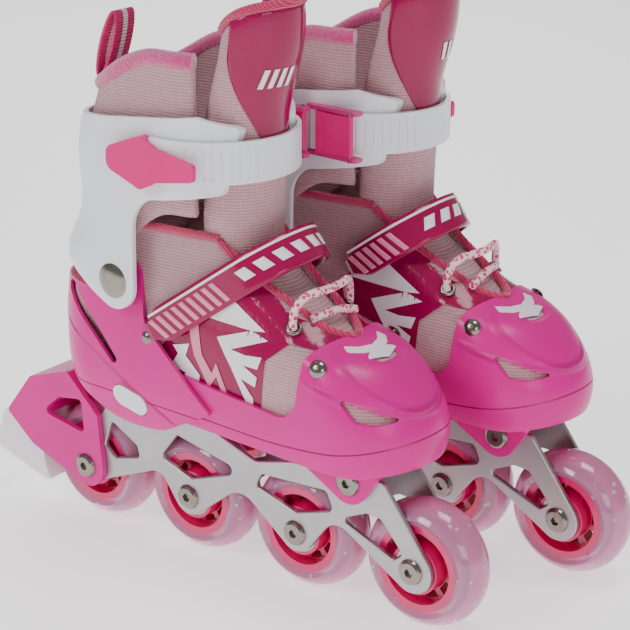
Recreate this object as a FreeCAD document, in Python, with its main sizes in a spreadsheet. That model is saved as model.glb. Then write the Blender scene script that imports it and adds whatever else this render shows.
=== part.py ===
import FreeCAD, Part
import math
import os
import Sketcher

# A pair of children's adjustable inline skates, in millimetres.
# +X points to the toes, +Y to the left, +Z up. The origin is on the ground, midway between the skates.
# One skate is modelled in its own frame (rear axle at x = 0, centre plane at y = 0, ground at z = 0), the
# right one is placed from there and the left one is its mirror image, standing a little further forward.

V = FreeCAD.Vector
doc = FreeCAD.newDocument("inline_skates")

SIZES = (
    # where the skates stand
    ("rear_axle_x", -96.5), ("skate_offset", 44.8), ("left_lead", 26.1),
    # wheels and axles
    ("wheel_radius", 32), ("wheel_half_width", 12), ("wheel_pitch", 68.5), ("hub_radius", 22),
    ("core_radius", 24.5), ("bearing_radius", 11), ("bearing_width", 7), ("axle_radius", 4),
    ("run_gap", 0.05), ("side_gap", 0.6), ("bolt_head_radius", 6.5), ("bolt_head", 2),
    # frame
    ("plate_thickness", 2.5), ("lobe_radius", 10), ("seat_x", 46), ("seat_z", 119), ("seat_radius", 50.5),
    ("mount_x", 171), ("mount_z", 69.3), ("lug_thickness", 3), ("screw_radius", 2.5),
    # shells
    ("shell_wall", 2), ("toe_wall", 2.2), ("pivot_x", 43), ("pivot_z", 149),
    ("pivot_radius", 3.5), ("cuff_wall", 2.5), ("toe_floor_z", 79.5),
    ("toe_travel", 20),
    # soft boot
    ("fabric", 4), ("padding", 6), ("tongue_thickness", 6), ("loop_width", 14),
    # straps
    ("strap_width", 20), ("strap_thickness", 2.2), ("strap_z", 216), ("strap_radius", 39),
    ("strap_front_x", 78), ("strap_end_x", 72), ("band_width", 18), ("band_thickness", 2.2),
    ("band_angle", 36), ("band_height", 64.5), ("band_front", 209), ("cord_diameter", 4),
    # brake
    ("brake_half_width", 18.4),
)

sheet = doc.addObject("Spreadsheet::Sheet", "sizes")
for row, (alias, value) in enumerate(SIZES, start=1):
    sheet.set(f"A{row}", alias)
    sheet.set(f"B{row}", str(value))
    sheet.setAlias(f"B{row}", alias)
doc.recompute()

NODES = {}


def size(alias):
    return float(sheet.get(alias))


# ---------------------------------------------------------------- shared geometry

def belt(circles):
    """Lines and arcs of a counter-clockwise loop round circles (x, y, r); r < 0 bends the loop inwards."""
    count = len(circles)
    normals = []
    for i in range(count):
        x1, y1, r1 = circles[i]
        x2, y2, r2 = circles[(i + 1) % count]
        along = V(x2 - x1, y2 - y1, 0)
        across = V(along.y, -along.x, 0) / along.Length
        lean = (r1 - r2) / along.Length
        normals.append(along / along.Length * lean + across * math.sqrt(1 - lean * lean))
    edges = []
    for i in range(count):
        x, y, r = circles[i]
        centre = V(x, y, 0)
        before = normals[i - 1]
        after = normals[i]
        turn = math.atan2(after.y, after.x) - math.atan2(before.y, before.x)
        turn = turn % (2 * math.pi)
        if r < 0:
            turn -= 2 * math.pi
        middle = math.atan2(before.y, before.x) + turn / 2
        half_way = V(math.cos(middle), math.sin(middle), 0)
        edges.append(Part.Arc(centre + before * r, centre + half_way * r, centre + after * r))
        x2, y2, r2 = circles[(i + 1) % count]
        edges.append(Part.LineSegment(centre + after * r, V(x2, y2, 0) + after * r2))
    return edges


def rounded(corners):
    """Lines and arcs of a counter-clockwise loop through corners (x, y, r), each rounded to radius r."""
    places = [V(x, y, 0) for x, y, r in corners]
    count = len(corners)
    arcs = []
    for i, (x, y, r) in enumerate(corners):
        back = (places[i - 1] - places[i]).normalize()
        ahead = (places[(i + 1) % count] - places[i]).normalize()
        half = back.getAngle(ahead) / 2
        reach = r / math.tan(half)
        inwards = (back + ahead).normalize()
        centre = places[i] + inwards * (r / math.sin(half))
        arcs.append((places[i] + back * reach, centre - inwards * r, places[i] + ahead * reach))
    edges = []
    for i, (first, middle, last) in enumerate(arcs):
        edges.append(Part.Arc(first, middle, last))
        edges.append(Part.LineSegment(last, arcs[(i + 1) % count][0]))
    return edges


def face_of(edges):
    """A flat face in the XY plane inside a closed loop of edges."""
    return Part.Face(Part.Wire([edge.toShape() for edge in edges]))


def polygon(points):
    """Line segments of a closed loop through (x, y) points."""
    corners = [V(x, y, 0) for x, y in points]
    return [Part.LineSegment(a, b) for a, b in zip(corners, corners[1:] + corners[:1])]


def prism(edges, half_width=70):
    """A side-view loop of edges, its y standing for z, extruded across the skate."""
    face = face_of(edges)
    face.rotate(V(), V(1, 0, 0), 90)
    face.translate(V(0, -half_width, 0))
    return face.extrude(V(0, 2 * half_width, 0))


def egg(height, heel_x, heel_r, toe_x, toe_r):
    """A plan-view wire at one height: a heel arc and a toe arc joined by their two tangents."""
    angle = math.acos((heel_r - toe_r) / (toe_x - heel_x))
    heel = V(heel_x + heel_r * math.cos(angle), heel_r * math.sin(angle), height)
    toe = V(toe_x + toe_r * math.cos(angle), toe_r * math.sin(angle), height)
    heel_far = V(heel.x, -heel.y, height)
    toe_far = V(toe.x, -toe.y, height)
    return Part.Wire([
        Part.Arc(heel, V(heel_x - heel_r, 0, height), heel_far).toShape(),
        Part.LineSegment(heel_far, toe_far).toShape(),
        Part.Arc(toe_far, V(toe_x + toe_r, 0, height), toe).toShape(),
        Part.LineSegment(toe, heel).toShape(),
    ])


def form(rows, heel_inset=0.0, toe_inset=0.0):
    """A solid lofted through egg sections (z, heel_x, heel_r, toe_x, toe_r), drawn in by the two insets."""
    wires = [egg(z, hx, hr - heel_inset, tx, tr - toe_inset) for z, hx, hr, tx, tr in rows]
    return Part.makeLoft(wires, True, False)


def new_body(name, role, geometry):
    """A PartDesign body with one closed sketch on the origin plane of that role."""
    body = doc.addObject("PartDesign::Body", name)
    return body, add_sketch(body, name + "_outline", role, geometry)


def add_sketch(body, name, role, geometry, lift=0.0):
    sketch = body.newObject("Sketcher::SketchObject", name)
    plane = [item for item in body.Origin.OriginFeatures if item.Role == role][0]
    sketch.AttachmentSupport = [(plane, "")]
    sketch.MapMode = "FlatFace"
    sketch.AttachmentOffset = FreeCAD.Placement(V(0, 0, lift), FreeCAD.Rotation())
    for edge in geometry:
        sketch.addGeometry(edge, False)
    return sketch


def revolve(body, sketch):
    turn = body.newObject("PartDesign::Revolution", body.Name + "_turned")
    turn.Profile = sketch
    turn.ReferenceAxis = (sketch, ["V_Axis"])
    turn.Angle = 360
    return turn


def pad(body, sketch, length, midplane=False):
    block = body.newObject("PartDesign::Pad", sketch.Name + "_pad")
    block.Profile = sketch
    block.Midplane = midplane
    block.setExpression("Length", length)
    return block


def pocket_through(body, sketch):
    hole = body.newObject("PartDesign::Pocket", sketch.Name + "_pocket")
    hole.Profile = sketch
    hole.Type = 1
    hole.Midplane = True
    return hole


def cylinder(name, radius, length, start, rotation=None):
    """A Part::Cylinder whose radius and length are expressions."""
    item = doc.addObject("Part::Cylinder", name)
    item.setExpression("Radius", radius)
    item.setExpression("Height", length)
    item.Placement = FreeCAD.Placement(start, rotation or FreeCAD.Rotation())
    return item


ACROSS = FreeCAD.Rotation(V(1, 0, 0), -90)


def fuse(name, parts):
    joined = doc.addObject("Part::MultiFuse", name)
    joined.Shapes = parts
    return joined


def cut(name, base, tool):
    rest = doc.addObject("Part::Cut", name)
    rest.Base = base
    rest.Tool = tool
    return rest


def group(name, parts):
    together = doc.addObject("Part::Compound", name)
    together.Links = parts
    return together


def mirrored(name, source):
    """The other side's copy of a piece, across the centre plane."""
    copy = doc.addObject("Part::Mirroring", name)
    copy.Source = source
    copy.Normal = V(0, 1, 0)
    return copy


def shaped(name, shape):
    piece = doc.addObject("Part::Feature", name)
    piece.Shape = Part.Compound(shape.Solids)
    return piece


def link(name, target, x, y, z):
    """A repeat of a piece, with its place bound to the sheet."""
    copy = doc.addObject("App::Link", name)
    copy.LinkedObject = target
    copy.setExpression("Placement.Base.x", x)
    copy.setExpression("Placement.Base.y", y)
    copy.setExpression("Placement.Base.z", z)
    return copy


def stand(piece, node):
    """Places a piece of the right skate and adds its mirror image to the left skate."""
    right(piece, node)
    left = mirrored("left_" + node, piece)
    left.setExpression("Placement.Base.x", "sizes.left_lead")
    NODES["left_" + node] = left


def right(piece, node):
    piece.Label = "right_" + node
    piece.setExpression("Placement.Base.x", "sizes.rear_axle_x")
    piece.setExpression("Placement.Base.y", "-sizes.skate_offset")
    NODES["right_" + node] = piece


PLATE_INNER = size("wheel_half_width") + size("side_gap")
PLATE_OUTER = PLATE_INNER + size("plate_thickness")
LUG_OUTER = PLATE_OUTER + size("lug_thickness")
AXLES = [i * size("wheel_pitch") for i in range(4)]


# ---------------------------------------------------------------- wheels

def make_tyre():
    """Urethane tyre with a round tread, cast over the hub's rim and its embedded core."""
    half = size("wheel_half_width")
    rim_half = half - 1.4
    core_half = 3
    shoulder = V(size("hub_radius") + 3, half, 0)
    inner = [V(shoulder.x, half, 0), V(size("hub_radius"), rim_half, 0), V(size("hub_radius"), core_half, 0),
             V(size("core_radius"), core_half, 0), V(size("core_radius"), -core_half, 0),
             V(size("hub_radius"), -core_half, 0), V(size("hub_radius"), -rim_half, 0),
             V(shoulder.x, -half, 0)]
    edges = [Part.LineSegment(a, b) for a, b in zip(inner, inner[1:])]
    edges.append(Part.Arc(inner[-1], V(size("wheel_radius"), 0, 0), inner[0]))
    body, sketch = new_body("tyre", "XY_Plane", edges)
    revolve(body, sketch)
    return body


def make_hub():
    """Spoked hub: bore sleeve, thin web with ten windows, rim and the core that the tyre is cast over."""
    half = size("wheel_half_width")
    rim_half = half - 1.4
    core_half = 3
    bore = size("bearing_radius") + size("run_gap")
    sleeve = bore + 1.6
    rim_inner = size("hub_radius") - 3.6
    web = 4
    upper = [(bore, half), (sleeve, half), (sleeve + 0.5, web), (rim_inner - 0.5, web), (rim_inner, rim_half),
             (size("hub_radius"), rim_half), (size("hub_radius"), core_half), (size("core_radius"), core_half)]
    lower = [(r, -y) for r, y in reversed(upper)]
    body, sketch = new_body("hub", "XY_Plane", polygon(upper + lower))
    revolve(body, sketch)
    doc.recompute()
    spokes = 10
    spread = math.radians(360 / spokes - 12) / 2
    window = []
    for radius, side in ((sleeve + 1.1, -1), (rim_inner - 1.1, -1), (rim_inner - 1.1, 1), (sleeve + 1.1, 1)):
        window.append((radius * math.cos(side * spread), radius * math.sin(side * spread)))
    opening = pocket_through(body, add_sketch(body, "hub_window", "XZ_Plane", polygon(window)))
    doc.recompute()
    pattern = body.newObject("PartDesign::PolarPattern", "hub_windows")
    pattern.Originals = [opening]
    y_axis = [item for item in body.Origin.OriginFeatures if item.Role == "Y_Axis"][0]
    pattern.Axis = (y_axis, [""])
    pattern.Angle = 360
    pattern.Occurrences = spokes
    body.Tip = pattern
    return body


def place_wheels():
    tyre = make_tyre()
    hub = make_hub()
    for side, lead, way in (("right", "0", "-"), ("left", "sizes.left_lead", "")):
        for i in range(len(AXLES)):
            x = f"sizes.rear_axle_x + {lead} + sizes.wheel_pitch * {i}"
            for part, name in ((tyre, "tyre"), (hub, "hub")):
                node = f"{side}_{name}_{i + 1}"
                NODES[node] = link(node, part, x, way + "sizes.skate_offset", "sizes.wheel_radius")


def make_bearings():
    """A pair of shielded bearings and the spacer between them, on each axle."""
    outer = size("wheel_half_width")
    inner = outer - size("bearing_width")
    bore = size("axle_radius")
    ring = size("bearing_radius")
    upper = [(bore, outer + 0.4), (bore + 1.8, outer + 0.4), (bore + 1.8, outer - 0.4), (ring - 1.4, outer - 0.4),
             (ring - 1.4, outer), (ring, outer), (ring, inner), (bore + 2, inner)]
    lower = [(r, -y) for r, y in reversed(upper)]
    body, sketch = new_body("bearing_pair", "XY_Plane", polygon(upper + lower))
    revolve(body, sketch)
    pairs = [link(f"bearing_pair_{i}", body, f"sizes.wheel_pitch * {i}", "0", "sizes.wheel_radius")
             for i in range(len(AXLES))]
    stand(group("bearings", pairs), "wheel_bearings")


def make_bolt(name, half_grip):
    """A barrel bolt with a low domed head and a hexagon socket at both ends, along Y."""
    head = size("bolt_head_radius")
    shaft = size("axle_radius")
    top = half_grip + size("bolt_head")
    upper = [(0, top), (head - 1.6, top), (head - 0.5, top - 0.6), (head, half_grip + 0.4), (head, half_grip),
             (shaft, half_grip)]
    lower = [(r, -y) for r, y in reversed(upper)]
    body, sketch = new_body(name, "XY_Plane", polygon(upper + lower))
    revolve(body, sketch)
    sockets = []
    for way in (-1, 1):
        socket = doc.addObject("Part::Prism", f"{name}_socket")
        socket.Polygon = 6
        socket.Circumradius = 2.4
        socket.Height = 3.2
        socket.Placement = FreeCAD.Placement(V(0, way * top - 1.6, 0), ACROSS)
        sockets.append(socket)
    return cut(name + "_bolt", body, fuse(name + "_sockets", sockets))


# ---------------------------------------------------------------- frame, bolts and sole

BRIDGE_TOP = size("seat_z") - size("seat_radius") - 1.5
SCREWS_X = (size("seat_x") - 13, size("seat_x") + 3)

def make_frame():
    """Two bright side plates with truss windows, joined by the bridge under the heel."""
    axle = size("wheel_radius")
    lobe = size("lobe_radius")
    low = axle + 9
    a0, a1, a2, a3 = AXLES
    outline = [(a0, axle, lobe), (a1 - 22, low - 9, -8), (a1, axle, lobe), (a1 + 34, low - 10, -12),
               (a2, axle, lobe), (a2 + 26, low - 8, -10), (a3, axle, lobe + 1.2),
               (size("mount_x") + 16, size("mount_z") - 0.3, 4), (size("mount_x") - 28, size("mount_z") - 2, 3),
               (size("mount_x") - 37, size("mount_z") - 3.3, 3), (112, 71.5, -8), (77, 74, 2),
               (size("seat_x"), size("seat_z"), -size("seat_radius")), (16, 67, 3)]
    body, sketch = new_body("plate", "XZ_Plane", belt(outline))
    pad(body, sketch, "sizes.plate_thickness")
    windows = [
        [(13.5, 46, 2), (18, 42, 2), (33, 46, 2), (32, 49.5, 2), (17.5, 57.5, 2)],
        [(54, 50.5, 2.5), (70, 46.5, 4), (94, 54, 3), (62, 62, 1.8)],
        [(115, 51.5, 2), (137, 47, 4), (156, 52, 3), (154, 56.5, 3), (117, 56, 1.5)],
        [(169, 47.5, 2), (195, 37.5, 2.2), (197.5, 39.5, 2.2), (187, 52, 2), (180, 52.5, 2)],
    ]
    doc.recompute()
    for i, window in enumerate(windows):
        pocket_through(body, add_sketch(body, f"plate_window_{i}", "XZ_Plane", belt(window)))
    holes = []
    for x in AXLES:
        holes.append(Part.Circle(V(x, axle, 0), V(0, 0, 1), size("axle_radius")))
    holes.append(Part.Circle(V(size("mount_x"), size("mount_z"), 0), V(0, 0, 1), size("axle_radius")))
    pocket_through(body, add_sketch(body, "plate_holes", "XZ_Plane", holes))
    doc.recompute()
    outer_face = -size("plate_thickness")
    rims = []
    for i, edge in enumerate(body.Shape.Edges, start=1):
        flat = all(abs(vertex.Y - outer_face) < 1e-4 for vertex in edge.Vertexes)
        if flat and not edge.isClosed():
            rims.append(f"Edge{i}")
    bored = body.Tip
    chamfer = body.newObject("PartDesign::Chamfer", "plate_bevel")
    chamfer.Base = (bored, rims)
    chamfer.Size = 0.5
    body.setExpression("Placement.Base.y", "-(sizes.wheel_half_width + sizes.side_gap)")
    bridge = doc.addObject("Part::Box", "frame_bridge")
    bridge.Length = 30
    bridge.Height = 3
    bridge.setExpression("Width", "2 * (sizes.wheel_half_width + sizes.side_gap)")
    bridge.setExpression("Placement.Base.y", "-(sizes.wheel_half_width + sizes.side_gap)")
    bridge.setExpression("Placement.Base.x", "sizes.seat_x - 20")
    bridge.setExpression("Placement.Base.z", "sizes.seat_z - sizes.seat_radius - 4.5")
    holes = [cylinder("bridge_hole", "sizes.screw_radius", "10", V(x, 0, BRIDGE_TOP - 6)) for x in SCREWS_X]
    bored_bridge = cut("frame_bridge_bored", bridge, fuse("bridge_holes", holes))
    stand(fuse("frame", [body, mirrored("plate_far", body), bored_bridge]), "frame")


def make_frame_bolts():
    """Axle bolts, the front mounting bolt through the lugs and the two screws up through the bridge."""
    axle = make_bolt("axle", PLATE_OUTER)
    mount = make_bolt("mount", LUG_OUTER)
    screws = []
    for x in SCREWS_X:
        shaft = cylinder("screw_shaft", "sizes.screw_radius", "9", V(x, 0, BRIDGE_TOP - 3))
        head = cylinder("screw_head", "sizes.screw_radius * 2", "2", V(x, 0, BRIDGE_TOP - 5))
        screws.append(fuse("screw", [shaft, head]))
    for side in ("right", "left"):
        axles = [link(f"{side}_axle_{i}", axle, f"sizes.wheel_pitch * {i}", "0", "sizes.wheel_radius")
                 for i in range(len(AXLES)) if i or side == "left"]
        front = link(f"{side}_mount", mount, "sizes.mount_x", "0", "sizes.mount_z")
        rear = [link(f"{side}_screw_{i}", screw, "0", "0", "0") for i, screw in enumerate(screws)]
        bolts = group(side + "_bolts", axles + [front] + rear)
        bolts.Label = side + "_frame_bolts"
        lead = "" if side == "right" else " + sizes.left_lead"
        way = "-" if side == "right" else ""
        bolts.setExpression("Placement.Base.x", "sizes.rear_axle_x" + lead)
        bolts.setExpression("Placement.Base.y", way + "sizes.skate_offset")
        NODES[side + "_frame_bolts"] = bolts


HEEL_OUTLINE = belt([(-34, 106, 1), (size("seat_x"), size("seat_z"), size("seat_radius")), (97, 91, 1.5),
                     (68, 134, -12), (size("pivot_x"), size("pivot_z"), 11), (22.5, 149.6, -9),
                     (-34, 138.4, 2)])


def make_sole():
    """Pink sole rail under the boot, with the keel on the bridge and the two lugs of the front mounting."""
    rail = Part.makeBox(size("mount_x") + 17 - 60, 40, 3.5, V(60, -20, size("toe_floor_z") - 4))
    keel = Part.makeBox(53, 2 * PLATE_INNER - 0.4, 14, V(size("seat_x") - 19, 0.2 - PLATE_INNER, BRIDGE_TOP))
    lug_loop = [(size("mount_x"), size("mount_z"), 11), (size("mount_x") + 14, 76, 3), (size("mount_x") - 28, 76, 3)]
    lug = prism(belt(lug_loop), LUG_OUTER)
    lug = lug.cut(Part.makeBox(400, 2 * PLATE_OUTER, 75.4, V(-100, -PLATE_OUTER, 0)))
    above = Part.makeBox(400, 100, 50, V(-100, -50, size("toe_floor_z") - 0.4))
    whole = rail.fuse([keel, lug]).cut(prism(HEEL_OUTLINE)).cut(above)
    bore = Part.makeCylinder(size("axle_radius"), 80, V(size("mount_x"), -40, size("mount_z")), V(0, 1, 0))
    whole = whole.cut(bore)
    for x in SCREWS_X:
        whole = whole.cut(Part.makeCylinder(size("screw_radius"), 30, V(x, 0, 50)))
    solids = sorted(whole.Solids, key=lambda solid: solid.Volume)
    stand(shaped("sole", solids[-1]), "sole_base")


# ---------------------------------------------------------------- hard shells

# height, heel centre and radius, toe centre and radius, then how far the fabric upper lies inside at the
# heel and at the toe
BOOT_ROWS = [
    (60, 17.5, 23, 150, 23, 8, 5), (70, 18, 25.5, 160, 29, 8, 4), (79, 18.3, 28, 170, 34.5, 8, 3),
    (87, 18.6, 30, 172, 36, 8, 2.9), (96, 18.6, 31.6, 172, 36.6, 8, 2.9), (105, 18.6, 32, 169.8, 36.4, 8, 2.9),
    (114, 18.6, 32, 165.5, 35.4, 7.2, 2.9), (123, 18.8, 32, 160, 33.2, 4.5, 2.9),
    (130, 19.6, 32, 152, 30.6, 3, 2.9), (135, 20.4, 32, 138.5, 28.6, 2.7, 2.4), (141, 21.4, 32, 127, 26.8, 2.6, 1),
    (148, 22.6, 32, 116.8, 25.2, 2.6, 0), (155, 24, 32, 107.4, 24, 2.6, 0), (163, 26, 32, 99, 23.5, 2.6, 0),
    (175, 28.5, 32, 92, 23.5, 2.6, 0), (190, 31, 32, 86, 24, 2.6, 0),
]
SHELL_ROWS = [row[:5] for row in BOOT_ROWS]
UPPER_ROWS = [(z, hx, hr - at_heel, tx, tr - at_toe) for z, hx, hr, tx, tr, at_heel, at_toe in BOOT_ROWS]

BUTTON_LOOP = [(40, 85.5, 6), (50, 83.2, 6)]


def side_hole(circles, depth=70):
    """A loop of circles (x, z, r) cut through the visible side only."""
    whole = prism(belt(circles))
    return whole.common(Part.makeBox(600, depth, 400, V(-200, -depth, -50)))


def make_heel_shell():
    """Heel shell: wraps the heel, overlaps the toe shell along a slanted edge and rises to the ankle pivots."""
    wall = size("shell_wall")
    outer = form(SHELL_ROWS).common(prism(HEEL_OUTLINE))
    above_floor = prism(belt([(-34, 106 + wall, 0.6), (size("seat_x"), size("seat_z"), size("seat_radius") - wall),
                              (200, 120, 1), (200, 200, 1), (-60, 200, 1), (-60, 126, 1)]))
    open_front = Part.makeBox(200, 140, 200, V(75, -70, 50))
    inner = form(SHELL_ROWS, wall, wall).common(above_floor.fuse(open_front))
    shell = outer.cut(inner)
    window = belt([(36, 105, 2.2), (7, 136, 4)])
    shell = shell.cut(prism(window))
    gap = 0.35
    shell = shell.cut(side_hole([(x, z, r + gap) for x, z, r in BUTTON_LOOP]))
    pivot = Part.makeCylinder(size("pivot_radius"), 120, V(size("pivot_x"), -60, size("pivot_z")), V(0, 1, 0))
    shell = shell.cut(pivot)
    for x in SCREWS_X:
        shell = shell.cut(Part.makeCylinder(size("screw_radius"), 30, V(x, 0, 50)))
    stand(shaped("heel", shell), "heel_shell")
    return shell


def make_size_button():
    """White oval push button that frees the sliding toe; it follows the shell's surface."""
    outer = form(SHELL_ROWS, -0.8, -0.8)
    inner = form(SHELL_ROWS, 3.4, 3.4)
    face = side_hole(BUTTON_LOOP).common(outer).cut(inner)
    stand(shaped("button", max(face.Solids, key=lambda solid: solid.Volume)), "size_button")


TOE_OUTLINE = belt([(64, size("toe_floor_z") + 2, 2), (186, size("toe_floor_z") + 2, 2), (236, 91, 2), (236, 132, 2),
                    (184, 140, -11), (163, 128.5, 9), (141, 113, -12), (64, 105, 2)])


def make_toe_shell():
    """Toe shell: a hollow cap with vent windows; its sides run back inside the heel shell, where it slides."""
    wall = size("toe_wall")
    back_inset = 5
    outer = form(SHELL_ROWS, back_inset, 0).common(prism(TOE_OUTLINE))
    floor = size("toe_floor_z") + wall
    inside = [(0, floor, 1), (184, floor, 1), (234, 89 + wall, 1), (300, 200, 1), (0, 200, 1)]
    inner = form(SHELL_ROWS, back_inset + wall, wall).common(prism(rounded(inside)))
    shell = outer.cut(inner)
    vent = belt([(178, 116, 1.2), (186, 110.4, 3), (193, 108.9, 2.4), (198.5, 108.6, 0.9)])
    shell = shell.cut(prism(vent))
    stand(shaped("toe", shell), "toe_shell")
    gap = 0.35
    clear = rounded([(x, z + gap, r) for x, z, r in inside])
    return outer.cut(form(SHELL_ROWS, back_inset + wall + gap, wall + gap).common(prism(clear)))


CUFF_ROWS = [
    (125, 31, 38, 78, 38.3), (150, 31, 38, 78, 38.3), (166, 34, 38, 78, 38.3), (186, 40.3, 37.8, 78, 38.3),
    (200, 39.6, 37.8, 78, 38.3), (218, 40.5, 37.8, 78, 38.3), (232, 45, 37.8, 78, 38.3), (246, 50, 37.8, 78, 38.3),
]


def make_cuff():
    """White ankle cuff: a band round the leg, open in front and at the tendon, with a stem to each pivot."""
    outline = belt([(-36, 167, 2), (size("pivot_x"), size("pivot_z") - 1, 13.5), (74, 178, -17), (103, 202, 2),
                    (107, 230, 3), (94, 233, 4), (34, 226, 4), (-36, 217, 2)])
    band = form(CUFF_ROWS).cut(form(CUFF_ROWS, size("cuff_wall"), size("cuff_wall")))
    band = band.common(prism(outline))
    tendon_gap = belt([(-20, 170.5, 2), (8, 171.5, 3), (12, 182, 3), (-20, 185, 2)])
    band = band.cut(prism(tendon_gap))
    radius = size("pivot_radius") + size("run_gap")
    pivot = Part.makeCylinder(radius, 120, V(size("pivot_x"), -60, size("pivot_z")), V(0, 1, 0))
    stand(shaped("cuff", band.cut(pivot)), "cuff")


# ---------------------------------------------------------------- soft boot

def band_ring(room):
    """The instep band as an open ring tilted over the instep, grown by room on every face."""
    thick = size("band_thickness")
    apex = 30
    loops = [(120, 0, 36), (size("band_front") - apex, 3, apex)]
    outer = belt([(x, y, r + room) for x, y, r in loops])
    inner = belt([(x, y, r - thick - room) for x, y, r in loops])
    width = size("band_width") + 2 * room
    ring = face_of(outer).cut(face_of(inner)).extrude(V(0, 0, width))
    keep = face_of(rounded([(123, -80, 1), (300, -80, 1), (300, 80, 1), (156, 80, 1), (156, 1, 1), (123, 0, 1)]))
    ring = ring.common(keep.extrude(V(0, 0, width)))
    ring.translate(V(0, 0, size("band_height") - width / 2))
    ring.rotate(V(), V(0, 1, 0), -size("band_angle"))
    return ring


def make_upper(heel, toe_room):
    """Outer shoe: a closed fabric body with the foot's hollow, its top edge rising to the instep."""
    wall = size("fabric")
    top = rounded([(-30, 83, 1), (230, 83, 1), (230, 200, 1), (123, 200, 1), (112, 178, 6), (76, 178, 5),
                   (52, 165, 5), (24, 140.5, 5), (-30, 139, 2)])
    solid = form(UPPER_ROWS).common(prism(top))
    hollow = rounded([(-30, 83 + wall, 1), (230, 83 + wall, 1), (230, 124, 1), (166, 130, 3), (138, 138, 3),
                      (112, 158, 3), (112, 220, 1), (-30, 220, 1)])
    inside = form(UPPER_ROWS, wall, wall).common(prism(hollow))
    solid = solid.cut(band_ring(0.5)).cut(heel)
    steps = 6
    for i in range(steps + 1):
        place = toe_room.copy()
        place.translate(V(size("toe_travel") * i / steps, 0, 0))
        solid = solid.cut(place)
    fabric = solid.cut(inside)
    stand(shaped("upper", Part.Compound([max(fabric.Solids, key=lambda solid: solid.Volume)])), "boot_upper")


SHAFT_ROWS = [
    (140, 32, 29.5, 76, 29.5), (160, 34, 29.5, 76, 29.5), (174, 36.5, 31, 76, 31), (189, 38.5, 33, 76, 33),
    (217, 40, 33, 76, 33), (240, 46, 33, 76, 33), (272, 51, 33, 76, 33),
]


def make_shaft():
    """Padded ankle shaft of the inner boot, open in front for the tongue, with the heel pull loop."""
    sides = rounded([(-36, 151, 1), (18, 151, 2), (46, 169.5, 2), (90, 189, 2), (91, 205, 2), (90, 265, 4),
                     (54, 260, 6), (12, 244, 4), (-36, 240, 2)])
    inner_inset = size("padding")
    ring = form(SHAFT_ROWS).cut(form(SHAFT_ROWS, inner_inset, inner_inset)).common(prism(sides))
    web = size("loop_width")
    outer_loop = belt([(9, 240, 5.5), (20, 268, 5.5)])
    inner_loop = belt([(9, 240, 3.6), (20, 268, 3.6)])
    loop = prism(outer_loop, web / 2).cut(prism(inner_loop, web / 2 + 1))
    loop = loop.cut(ring)
    stand(shaped("shaft", ring.fuse(max(loop.Solids, key=lambda solid: solid.Volume))), "boot_shaft")


TONGUE_ROWS = [
    (195, 40, 23, 91, 23), (215, 40, 23, 92.3, 23), (236, 40, 23, 93.2, 23), (264, 40, 23, 101, 23),
    (292, 40, 23, 104, 23),
]


def make_tongue():
    """Padded tongue, curved round the shin and standing above the collar."""
    sides = rounded([(79, 206, 2), (150, 206, 2), (150, 289, 2), (122, 285, 4), (81, 277, 6)])
    inset = size("tongue_thickness")
    sheet_shape = form(TONGUE_ROWS).cut(form(TONGUE_ROWS, inset, inset)).common(prism(sides))
    stand(shaped("tongue_pad", sheet_shape), "tongue")


def cord(points, diameter):
    """A round cord through points: straight runs joined by arcs as large as the runs allow."""
    places = [V(*point) for point in points]
    edges = []
    start = places[0]
    radii = []
    for before, corner, after in zip(places, places[1:], places[2:]):
        back = before - corner
        ahead = after - corner
        half_turn = (math.pi - back.getAngle(ahead)) / 2
        reach = 0.45 * min(back.Length, ahead.Length)
        radii.append(reach / math.tan(half_turn))
        back.normalize()
        ahead.normalize()
        first = corner + back * reach
        last = corner + ahead * reach
        inwards = (back + ahead).normalize()
        to_centre = math.hypot(reach, radii[-1])
        middle = corner + inwards * (to_centre - radii[-1])
        edges.append(Part.LineSegment(start, first).toShape())
        edges.append(Part.Arc(first, middle, last).toShape())
        start = last
    edges.append(Part.LineSegment(start, places[-1]).toShape())
    path = Part.Wire(edges)
    direction = places[1] - places[0]
    ring = Part.Wire(Part.Circle(places[0], direction, diameter / 2).toShape())
    tube = Part.Wire(edges).makePipeShell([ring], True, True)
    expected = math.pi * diameter ** 2 / 4 * path.Length
    print("cord radii", [round(radius, 1) for radius in radii], "length", round(path.Length, 1),
          "volume ratio", round(tube.Volume / expected, 3))
    return tube


def make_lace():
    """Lace: the arch over the throat from eyelet to eyelet, and the strand crossing the throat's end."""
    side = [(142, 22, 141), (141.5, 23, 149), (145, 17, 157), (149, 6, 157.5)]
    arch = [(x, -y, z) for x, y, z in side] + [(x, y, z) for x, y, z in reversed(side)]
    cross = [(147, -14, 145), (149.5, -5, 146.5), (151, 5, 146), (151.5, 14, 143)]
    strands = [cord(arch, size("cord_diameter")), cord(cross, size("cord_diameter"))]
    stand(shaped("laces", Part.makeCompound(strands)), "lace")


# ---------------------------------------------------------------- small metal parts

def dome(name, radius, height, shaft, length):
    """A domed rivet along -Y: its head's foot is at y = 0 and its shaft runs inwards."""
    bulge = Part.Arc(V(0, -height, 0), V(radius * 0.68, -height * 0.66, 0), V(radius, 0, 0))
    rest = [V(radius, 0, 0), V(shaft, 0, 0), V(shaft, length, 0), V(0, length, 0), V(0, -height, 0)]
    edges = [bulge] + [Part.LineSegment(a, b) for a, b in zip(rest, rest[1:])]
    body, sketch = new_body(name, "XY_Plane", edges)
    revolve(body, sketch)
    return body


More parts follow.
